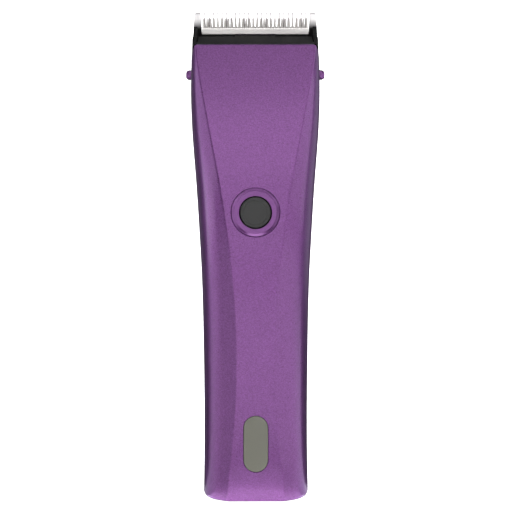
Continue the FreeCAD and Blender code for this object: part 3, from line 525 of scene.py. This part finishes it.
def cutter_piece():
    tip, root, back, half = -2.2, -5.7, -8.5, 20.0
    pts = [(-half, -10.5), (-half, root)]
    for i in range(30):
        x = (i - 14.5) * 1.333
        pts += [(x - 0.50, root), (x - 0.25, tip - 0.16), (x - 0.13, tip), (x + 0.13, tip), (x + 0.25, tip - 0.16), (x + 0.50, root)]
    pts += [(half, root), (half, -10.5)]
    ob = flat_blank("cutter_blade_ground", pts, 0.02, 1.17)
    cuts = [
        prism("cut", comb_pt, [(root, 1.02), (root, 3.0), (0.0, 3.0), (0.0, 0.2)], -30, 30),
        prism("cut", comb_pt, [(root + 0.02, 1.0), (root - 0.45, 1.17), (root - 0.45, 3.0), (root + 0.02, 3.0)], -30, 30),
        prism("cut", comb_pt, [(back + 0.45, 1.17), (back + 0.45, 3.0), (-12.0, 3.0), (-12.0, 0.75), (back, 0.75)], -30, 30),
    ]
    for x in (5.6, -5.6):
        cuts.append(rod("cut", comb_pt(x, -9.55, -1.0), (0, -CB, -SB), 0.62, 4.0, 24))
    boolean(ob, cuts)
    bevel(ob, 0.035, 1)
    soften(ob, 20, weighted=False)
    flats(ob, 0.6)
    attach(ob, "cutter")
    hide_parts("cutter_blade")
    return ob


comb_ob = comb_piece()
cutter_ob = cutter_piece()

# ---------------------------------------------------------------- materials
def material(name):
    m = bpy.data.materials.new(name)
    m.use_nodes = True
    m.node_tree.nodes.clear()
    return m


class Net:
    """Short names for a material's nodes."""

    def __init__(self, name):
        self.m = material(name)
        self.t = self.m.node_tree
        self.out = self.t.nodes.new("ShaderNodeOutputMaterial")
        self.bsdf = self.t.nodes.new("ShaderNodeBsdfPrincipled")
        self.t.links.new(self.bsdf.outputs["BSDF"], self.out.inputs["Surface"])
        self.coord = self.t.nodes.new("ShaderNodeTexCoord").outputs["Object"]

    def node(self, kind, **values):
        n = self.t.nodes.new(kind)
        for k, v in values.items():
            if k in n.inputs:
                n.inputs[k].default_value = v
            else:
                setattr(n, k, v)
        return n

    def link(self, a, b):
        self.t.links.new(a, b)

    def set(self, **values):
        for k, v in values.items():
            self.bsdf.inputs[k.replace("_", " ")].default_value = v

    def noise(self, scale, detail=2.0, rough=0.5, stretch=None):
        n = self.node("ShaderNodeTexNoise", Scale=scale, Detail=detail, Roughness=rough)
        src = self.coord
        if stretch:
            mp = self.node("ShaderNodeMapping")
            mp.inputs["Scale"].default_value = stretch
            self.link(self.coord, mp.inputs["Vector"])
            src = mp.outputs["Vector"]
        self.link(src, n.inputs["Vector"])
        return n.outputs["Fac"]

    def remap(self, value, a, b, c, d):
        n = self.node("ShaderNodeMapRange")
        n.clamp = True
        for k, v in zip(("From Min", "From Max", "To Min", "To Max"), (a, b, c, d)):
            n.inputs[k].default_value = v
        self.link(value, n.inputs["Value"])
        return n.outputs["Result"]

    def mix(self, fac, a, b, mode="MIX"):
        n = self.t.nodes.new("ShaderNodeMix")
        n.data_type, n.blend_type = "RGBA", mode
        for socket, v in ((n.inputs[0], fac), (n.inputs[6], a), (n.inputs[7], b)):
            if hasattr(v, "default_value") or hasattr(v, "is_linked"):
                self.link(v, socket)
            elif isinstance(v, (int, float)):
                socket.default_value = v
            else:
                socket.default_value = (*v, 1.0) if len(v) == 3 else v
        return n.outputs[2]

    def maths(self, op, a, b):
        n = self.t.nodes.new("ShaderNodeMath")
        n.operation = op
        for s, v in zip(n.inputs, (a, b)):
            if isinstance(v, (int, float)):
                s.default_value = v
            else:
                self.link(v, s)
        return n.outputs[0]

    def bump(self, height, strength, distance):
        n = self.node("ShaderNodeBump", Strength=strength, Distance=distance)
        self.link(height, n.inputs["Height"])
        self.link(n.outputs["Normal"], self.bsdf.inputs["Normal"])
        return n

    def edge_wear(self, radius, lo, hi):
        """1 on sharp convex edges, 0 elsewhere."""
        g = self.t.nodes.new("ShaderNodeNewGeometry")
        return self.remap(g.outputs["Pointiness"], lo, hi, 0.0, 1.0)


def purple(name, flake=1.0, rough=0.30, gain=1.0, grain=0.00006):
    """Metallic lacquer: small cells of differing brightness and tilt, under a thin clear coat."""
    n = Net(name)
    cell = n.t.nodes.new("ShaderNodeTexVoronoi")
    cell.inputs["Scale"].default_value = 5200.0
    n.link(n.coord, cell.inputs["Vector"])
    pick = n.t.nodes.new("ShaderNodeSeparateColor")
    n.link(cell.outputs["Color"], pick.inputs[0])
    coarse = n.t.nodes.new("ShaderNodeTexVoronoi")
    coarse.inputs["Scale"].default_value = 3000.0
    n.link(n.coord, coarse.inputs["Vector"])
    pick2 = n.t.nodes.new("ShaderNodeSeparateColor")
    n.link(coarse.outputs["Color"], pick2.inputs[0])
    broad = n.noise(28.0, 2.0, 0.5)
    base = (0.182 * gain, 0.066 * gain, 0.224 * gain)
    dark = tuple(c * (1 - 0.30 * flake) for c in base)
    light = tuple(min(1.0, c * (1 + 0.30 * flake)) for c in base)
    speck = n.maths("ADD", n.maths("MULTIPLY", pick.outputs[0], 0.5), n.maths("MULTIPLY", pick2.outputs[0], 0.5))
    col = n.mix(speck, dark, light)
    col = n.mix(n.remap(broad, 0.35, 0.7, 0.0, 0.08), col, tuple(c * 0.85 for c in base))
    n.link(col, n.bsdf.inputs["Base Color"])
    n.set(Metallic=0.92, IOR=1.45)
    n.link(n.remap(speck, 0.0, 1.0, rough - 0.03, rough + 0.03), n.bsdf.inputs["Roughness"])
    n.bsdf.inputs["Specular Tint"].default_value = (0.72, 0.60, 0.90, 1)
    n.bsdf.inputs["Coat Weight"].default_value = 0.40
    n.bsdf.inputs["Coat Roughness"].default_value = 0.14
    n.bump(n.noise(2600.0, 2.0, 0.6), 0.35 * flake, grain)
    return n.m


def plastic(name, colour, rough, grain_scale=1500.0, grain=0.00006, vary=0.12, coat=0.0, spec=0.5):
    n = Net(name)
    g = n.noise(grain_scale, 3.0, 0.6)
    b = n.noise(45.0, 3.0, 0.55)
    col = n.mix(n.remap(b, 0.3, 0.7, 0.0, 1.0), tuple(c * (1 - vary) for c in colour), tuple(min(1, c * (1 + vary)) for c in colour))
    n.link(col, n.bsdf.inputs["Base Color"])
    n.link(n.remap(b, 0.3, 0.7, rough - 0.05, rough + 0.07), n.bsdf.inputs["Roughness"])
    n.bsdf.inputs["Specular IOR Level"].default_value = spec
    n.bsdf.inputs["Coat Weight"].default_value = coat
    n.bsdf.inputs["Coat Roughness"].default_value = 0.12
    n.bump(g, 0.4, grain)
    return n.m


def steel(name, colour, rough, stretch=(40, 1800, 1800), grain=0.00002, vary=0.10):
    """Ground or drawn steel: fine lines along the long way of stretch."""
    n = Net(name)
    lines = n.noise(1.0, 3.0, 0.6, stretch=stretch)
    blot = n.noise(160.0, 3.0, 0.6)
    col = n.mix(n.remap(lines, 0.3, 0.7, 0.0, 1.0), tuple(c * (1 - vary) for c in colour), tuple(min(1, c * (1 + vary * 0.7)) for c in colour))
    col = n.mix(n.remap(blot, 0.5, 0.8, 0.0, 0.25), col, tuple(c * 0.82 for c in colour))
    n.link(col, n.bsdf.inputs["Base Color"])
    n.set(Metallic=1.0)
    n.link(n.remap(lines, 0.3, 0.7, rough - 0.05, rough + 0.08), n.bsdf.inputs["Roughness"])
    n.bump(lines, 0.3, grain)
    return n.m


def blade_steel(name, colour, rough, metallic, stretch, painted_end_shade=False, painted_shadow_below=None, painted_teeth_shade=None):
    """Satin ground steel with grinding lines, with painted shade: darker in crevices found by ambient occlusion, the
    end teeth painted dark towards the plastic they sit in as painted reflection and shade, grey painted shade at the
    tooth tips, a painted shadow below a given height and a painted darker toothed part.
    """
    n = Net(name)
    lines = n.noise(1.0, 3.0, 0.6, stretch=stretch)
    blot = n.noise(220.0, 3.0, 0.6)
    col = n.mix(n.remap(lines, 0.3, 0.7, 0.0, 1.0), tuple(c * 0.90 for c in colour), tuple(min(1, c * 1.05) for c in colour))
    col = n.mix(n.remap(blot, 0.5, 0.8, 0.0, 0.3), col, tuple(c * 0.86 for c in colour))
    # painted shade: the colour is darkened where ambient occlusion finds close surfaces, in the gaps between the teeth
    # and under the cutter
    ao = n.node("ShaderNodeAmbientOcclusion")
    ao.samples = 6
    ao.inputs["Distance"].default_value = 0.0011
    col = n.mix(n.remap(ao.outputs["AO"], 0.35, 0.80, 1.0, 0.0), col, tuple(c * f for c, f in zip(colour, (0.24, 0.19, 0.24))))
    sep = n.t.nodes.new("ShaderNodeSeparateXYZ")
    n.link(n.coord, sep.inputs[0])
    if painted_teeth_shade:
        # painted shade: the toothed part is painted darker than the rest, for the shade between the thin teeth. Its
        # three values are lower z, upper z, factor
        z0, z1, f = painted_teeth_shade
        teeth_shade_zone = n.maths("MULTIPLY", n.remap(sep.outputs[2], z0 - 0.0001, z0 + 0.0001, 0.0, 1.0), n.remap(sep.outputs[2], z1 - 0.0004, z1 + 0.0004, 1.0, 0.0))
        teeth_shade_zone = n.maths("MULTIPLY", teeth_shade_zone, n.remap(n.maths("ABSOLUTE", sep.outputs[0], 0.0), 0.0193, 0.0195, 1.0, 0.0))
        col = n.mix(teeth_shade_zone, col, tuple(c * f * g for c, g in zip(colour, (1.0, 0.98, 0.97))))
    # painted shadow: below this height the cutter is painted near black, for the shadow line under its back edge
    if painted_shadow_below:
        col = n.mix(n.remap(sep.outputs[2], painted_shadow_below - 0.00006, painted_shadow_below + 0.00002, 1.0, 0.0), col, (0.012, 0.012, 0.012))
    # painted reflection and painted shade: the end teeth and the lower part of the plate are painted near black, for
    # the dark plastic they face and the shade they sit in
    if painted_end_shade:
        side = n.remap(n.maths("ABSOLUTE", sep.outputs[0], 0.0), 0.0196, 0.0203, 0.0, 1.0)
        along = n.remap(sep.outputs[2], 0.1733, 0.1765, 1.0, 0.0)
        tip = n.remap(sep.outputs[2], 0.1779, 0.1785, 0.0, 0.75)
        low = n.remap(sep.outputs[2], 0.1712, 0.1742, 1.0, 0.0)
        dark = n.maths("MAXIMUM", n.maths("MULTIPLY", side, along), low)
        col = n.mix(dark, col, (0.012, 0.011, 0.012))
        # grey painted shade along the tooth tips, where the tip bevels turn from the light
        col = n.mix(tip, col, (0.20, 0.19, 0.19))
    n.link(col, n.bsdf.inputs["Base Color"])
    n.set(Metallic=metallic)
    n.link(n.remap(lines, 0.3, 0.7, rough - 0.05, rough + 0.08), n.bsdf.inputs["Roughness"])
    n.bump(lines, 0.3, 0.00002)
    return n.m


M = {
    "purple_shell": purple("purple_metallic_shell"),
    "purple_bezel": purple("purple_smooth", flake=0.25, rough=0.34, grain=0.00008),
    "black_plastic": plastic("black_moulded", (0.0095, 0.0095, 0.0097), 0.40, spec=0.005),
    "button_grey": plastic("button_grey", (0.0145, 0.0145, 0.0145), 0.50, grain_scale=2500.0, spec=0.4),
    "white_plastic": plastic("white_acetal", (0.72, 0.71, 0.67), 0.45),
    "dark_rubber": plastic("dark_rubber", (0.03, 0.03, 0.03), 0.8),
    "seal_felt": plastic("seal_felt", (0.09, 0.09, 0.09), 0.95, grain_scale=3000.0, grain=0.0003),
    "window_grey": plastic("window_grey", (0.080, 0.080, 0.063), 0.34, grain_scale=300.0, grain=0.00001, vary=0.03, coat=0.2),
    "panel_glass": plastic("panel_glass", (0.30, 0.32, 0.28), 0.2),
    "board_green": plastic("board_green", (0.02, 0.14, 0.06), 0.35),
    "chip_black": plastic("chip_black", (0.02, 0.02, 0.02), 0.5),
    "copper": steel("copper", (0.80, 0.36, 0.20), 0.32),
    "bronze": steel("bronze", (0.62, 0.44, 0.22), 0.38),
    "gold_contact": steel("gold_contact", (0.90, 0.68, 0.30), 0.22),
    "can_aluminium": steel("can_aluminium", (0.78, 0.78, 0.78), 0.3),
    "cell_wrap": plastic("cell_wrap", (0.05, 0.20, 0.42), 0.3, coat=0.4),
    "nickel": steel("nickel", (0.74, 0.72, 0.68), 0.2),
    "foam": plastic("foam", (0.10, 0.10, 0.10), 0.95, grain_scale=1800.0, grain=0.0004),
    "wire_red": plastic("wire_red", (0.40, 0.02, 0.02), 0.45),
    "motor_steel": steel("motor_steel", (0.60, 0.60, 0.60), 0.32),
    "core_steel": steel("core_steel", (0.32, 0.32, 0.33), 0.5),
    "magnet_grey": plastic("magnet_grey", (0.06, 0.06, 0.065), 0.7),
    "carbon": plastic("carbon", (0.03, 0.03, 0.03), 0.6),
    "screw_steel": steel("screw_steel", (0.56, 0.56, 0.56), 0.30, stretch=(900, 900, 900)),
    "spring_steel": steel("spring_steel", (0.62, 0.62, 0.60), 0.28),
    "comb_steel": blade_steel("comb_steel", (0.84, 0.82, 0.825), 0.42, 0.25, (1500, 60, 60), painted_end_shade=True, painted_teeth_shade=(0.1700, 0.1762, 0.62)),
    "cutter_steel": blade_steel("cutter_steel", (0.86, 0.835, 0.815), 0.42, 0.30, (60, 1500, 1500), painted_shadow_below=0.17121, painted_teeth_shade=(0.1732, 0.1800, 0.50)),
}
for part in frame["record"]["subparts"]:
    ob = nodes[part["node"]]
    ob.data.materials.clear()
    ob.data.materials.append(M[part["material_slot"]])
# the follower is moulded in the dark grade of its plastic, and the rivets are blackened
nodes["cutter_follower"].data.materials[0] = plastic("follower_dark", (0.012, 0.012, 0.012), 0.45, spec=0.1)
nodes["cutter_rivets"].data.materials[0] = plastic("rivet_dark", (0.014, 0.014, 0.014), 0.55, spec=0.05)
# moulded edges of the blade set's body
edge = nodes["blade_base"].modifiers.new("edges", "BEVEL")
edge.width, edge.segments, edge.limit_method, edge.angle_limit = 0.22 * MM, 3, "ANGLE", math.radians(38)
edge.use_clamp_overlap = True
edge.harden_normals = True


def dress(ob, slot):
    ob.data.materials.clear()
    ob.data.materials.append(M[slot])


dress(front_shell, "purple_shell")
dress(rear_shell, "purple_shell")
dress(bezel, "purple_bezel")
dress(button, "button_grey")
dress(window, "window_grey")
dress(comb_ob, "comb_steel")
dress(cutter_ob, "cutter_steel")

# ---------------------------------------------------------------- stage, light and camera
def disc(name, prof, closed=False, steps=96):
    verts, faces = ([(0, 0, prof[0][1])] if closed else []), []
    first = len(verts)
    for r, z in prof:
        for i in range(steps):
            a = 2 * math.pi * i / steps
            verts.append((r * math.cos(a), r * math.sin(a), z))
    if closed:
        for i in range(steps):
            faces.append((0, first + i, first + (i + 1) % steps))
    for k in range(len(prof) - 1):
        for i in range(steps):
            a, b = first + k * steps + i, first + k * steps + (i + 1) % steps
            faces.append((a, a + steps, b + steps, b))
    mesh = bpy.data.meshes.new(name)
    mesh.from_pydata(verts, [], faces)
    for p in mesh.polygons:
        p.use_smooth = True
    ob = bpy.data.objects.new(name, mesh)
    scene.collection.objects.link(ob)
    return ob


def stage_material(name, glow, grey=0.86):
    n = Net(name)
    n.set(Roughness=0.9)
    n.bsdf.inputs["Base Color"].default_value = (grey, grey, grey, 1)
    n.bsdf.inputs["Emission Color"].default_value = (1, 1, 1, 1)
    n.bsdf.inputs["Emission Strength"].default_value = glow
    n.bsdf.inputs["Specular IOR Level"].default_value = 0.0
    return n.m


def sheet_piece(name, verts, faces, mat):
    mesh = bpy.data.meshes.new(name)
    mesh.from_pydata(verts, [], faces)
    ob = bpy.data.objects.new(name, mesh)
    ob.data.materials.append(mat)
    scene.collection.objects.link(ob)
    return ob


floor_white, back_white = stage_material("stage_floor_white", 0.075, 0.75), stage_material("stage_back_white", 0.95)
# the floor in front of the object, seen in its reflections, then the rest of the floor and the cove
ring = [(0.0, -0.004, 0.0)] + [(0.95 * math.sin(a), -0.004 - 0.95 * math.cos(a), 0.0) for a in [math.radians(-40 + 165 * i / 48) for i in range(49)]]
front_floor = sheet_piece("stage_floor_front", ring, [tuple(range(50))], floor_white)
ring = [(0.0, -0.004, 0.0)] + [(0.95 * math.sin(a), -0.004 - 0.95 * math.cos(a), 0.0) for a in [math.radians(-125 + 85 * i / 24) for i in range(25)]]
left_floor = sheet_piece("stage_floor_left", ring, [tuple(range(26))], stage_material("stage_left_white", 0.04, 0.55))
left_floor.visible_camera = False
arc = [math.radians(-80 + 160 * i / 24) for i in range(25)]
ring = [(r * math.sin(a), -0.004 - r * math.cos(a), 0.00005) for r in (0.062, 0.105) for a in arc]
mid_floor = sheet_piece("stage_floor_mid", ring, [(i, i + 1, i + 26, i + 25) for i in range(24)], stage_material("stage_mid_grey", 0.0, 0.36))
mid_floor.visible_camera = False
prof = [(0.05, -0.0002), (0.5, -0.0002), (1.0, -0.0002), (1.5, -0.0002)]
prof += [(1.5 + 0.8 * math.sin(math.pi / 2 * i / 12), 0.8 * (1 - math.cos(math.pi / 2 * i / 12))) for i in range(1, 13)]
prof.append((2.3, 2.4))
cove = disc("stage_backdrop", prof, closed=True)
cove.data.materials.append(back_white)
cove.visible_glossy = False
front_floor.visible_camera = False
ring = [(0.0, -0.004, 0.0001)] + [(0.030 * math.sin(a), -0.004 - 0.030 * math.cos(a), 0.0001) for a in [math.radians(-80 + 160 * i / 24) for i in range(25)]]
near_floor = sheet_piece("stage_floor_near", ring, [tuple(range(26))], stage_material("stage_near_white", 1.08))
near_floor.visible_camera = False

world = bpy.data.worlds.new("studio")
scene.world = world
world.use_nodes = True
bg = world.node_tree.nodes["Background"]
bg.inputs["Color"].default_value = (0.95, 0.92, 1.05, 1)
bg.inputs["Strength"].default_value = 0.07


def softbox(name, azimuth, distance, width, z0, z1, radiance, colour=(1, 1, 1)):
    """An upright panel of light. Azimuth 0 is behind the camera, 90 at the object's right."""
    a = math.radians(azimuth)
    at = Vector((math.sin(a) * distance, -math.cos(a) * distance, (z0 + z1) / 2))
    data = bpy.data.lights.new(name, "AREA")
    data.shape = "RECTANGLE"
    data.size, data.size_y = width, z1 - z0
    data.energy = radiance * math.pi * width * (z1 - z0)
    data.color = colour
    ob = bpy.data.objects.new(name, data)
    ob.location = at
    ob.rotation_euler = Vector((-at.x, -at.y, 0)).to_track_quat("-Z", "Y").to_euler()
    ob.visible_camera = False
    scene.collection.objects.link(ob)
    return ob


def top_panel(name, at, size, radiance):
    data = bpy.data.lights.new(name, "AREA")
    data.shape = "RECTANGLE"
    data.size, data.size_y = size
    data.energy = radiance * math.pi * size[0] * size[1]
    ob = bpy.data.objects.new(name, data)
    ob.location = at
    ob.visible_camera = False
    scene.collection.objects.link(ob)
    return ob


softbox("front", 5, 1.1, 1.15, 0.16, 1.06, 1.02)
softbox("front_low", 5, 1.1, 1.15, 0.02, 0.16, 1.22)
softbox("front_high", 5, 1.0, 1.05, 0.33, 0.76, 0.42)
softbox("right", 83, 1.1, 1.78, 0.03, 0.95, 1.17)
softbox("left_front", -68, 1.1, 0.80, 0.13, 0.95, 0.84)
softbox("left", -110, 1.1, 0.80, 0.11, 0.95, 1.02)
softbox("left_low", -108, 1.1, 0.80, 0.01, 0.11, 2.1)
softbox("right_back", 142, 1.2, 0.60, 0.02, 0.70, 0.38)
softbox("left_back", -160, 1.2, 0.45, 0.02, 0.70, 0.06)
top_panel("top", (0, -0.50, 1.30), (0.9, 0.55), 3.2)

cam_data = bpy.data.cameras.new("camera")
cam_data.lens = 1350.0 / 512.0 * 36.0
cam_data.sensor_width = 36.0
cam_data.sensor_fit = "HORIZONTAL"
cam_data.shift_x = 0.45 / 512.0
cam_data.shift_y = 1.0 / 512.0
cam_data.clip_start, cam_data.clip_end = 0.05, 20.0
cam = bpy.data.objects.new("camera", cam_data)
cam.location = (0.0, (-500.0 + DEPTH_SHIFT) * MM, 87.5 * MM)
cam.rotation_euler = (math.radians(90), math.radians(0.08), 0)
scene.collection.objects.link(cam)
scene.camera = cam
scene.view_settings.view_transform = "Standard"
scene.cycles.use_denoising = True
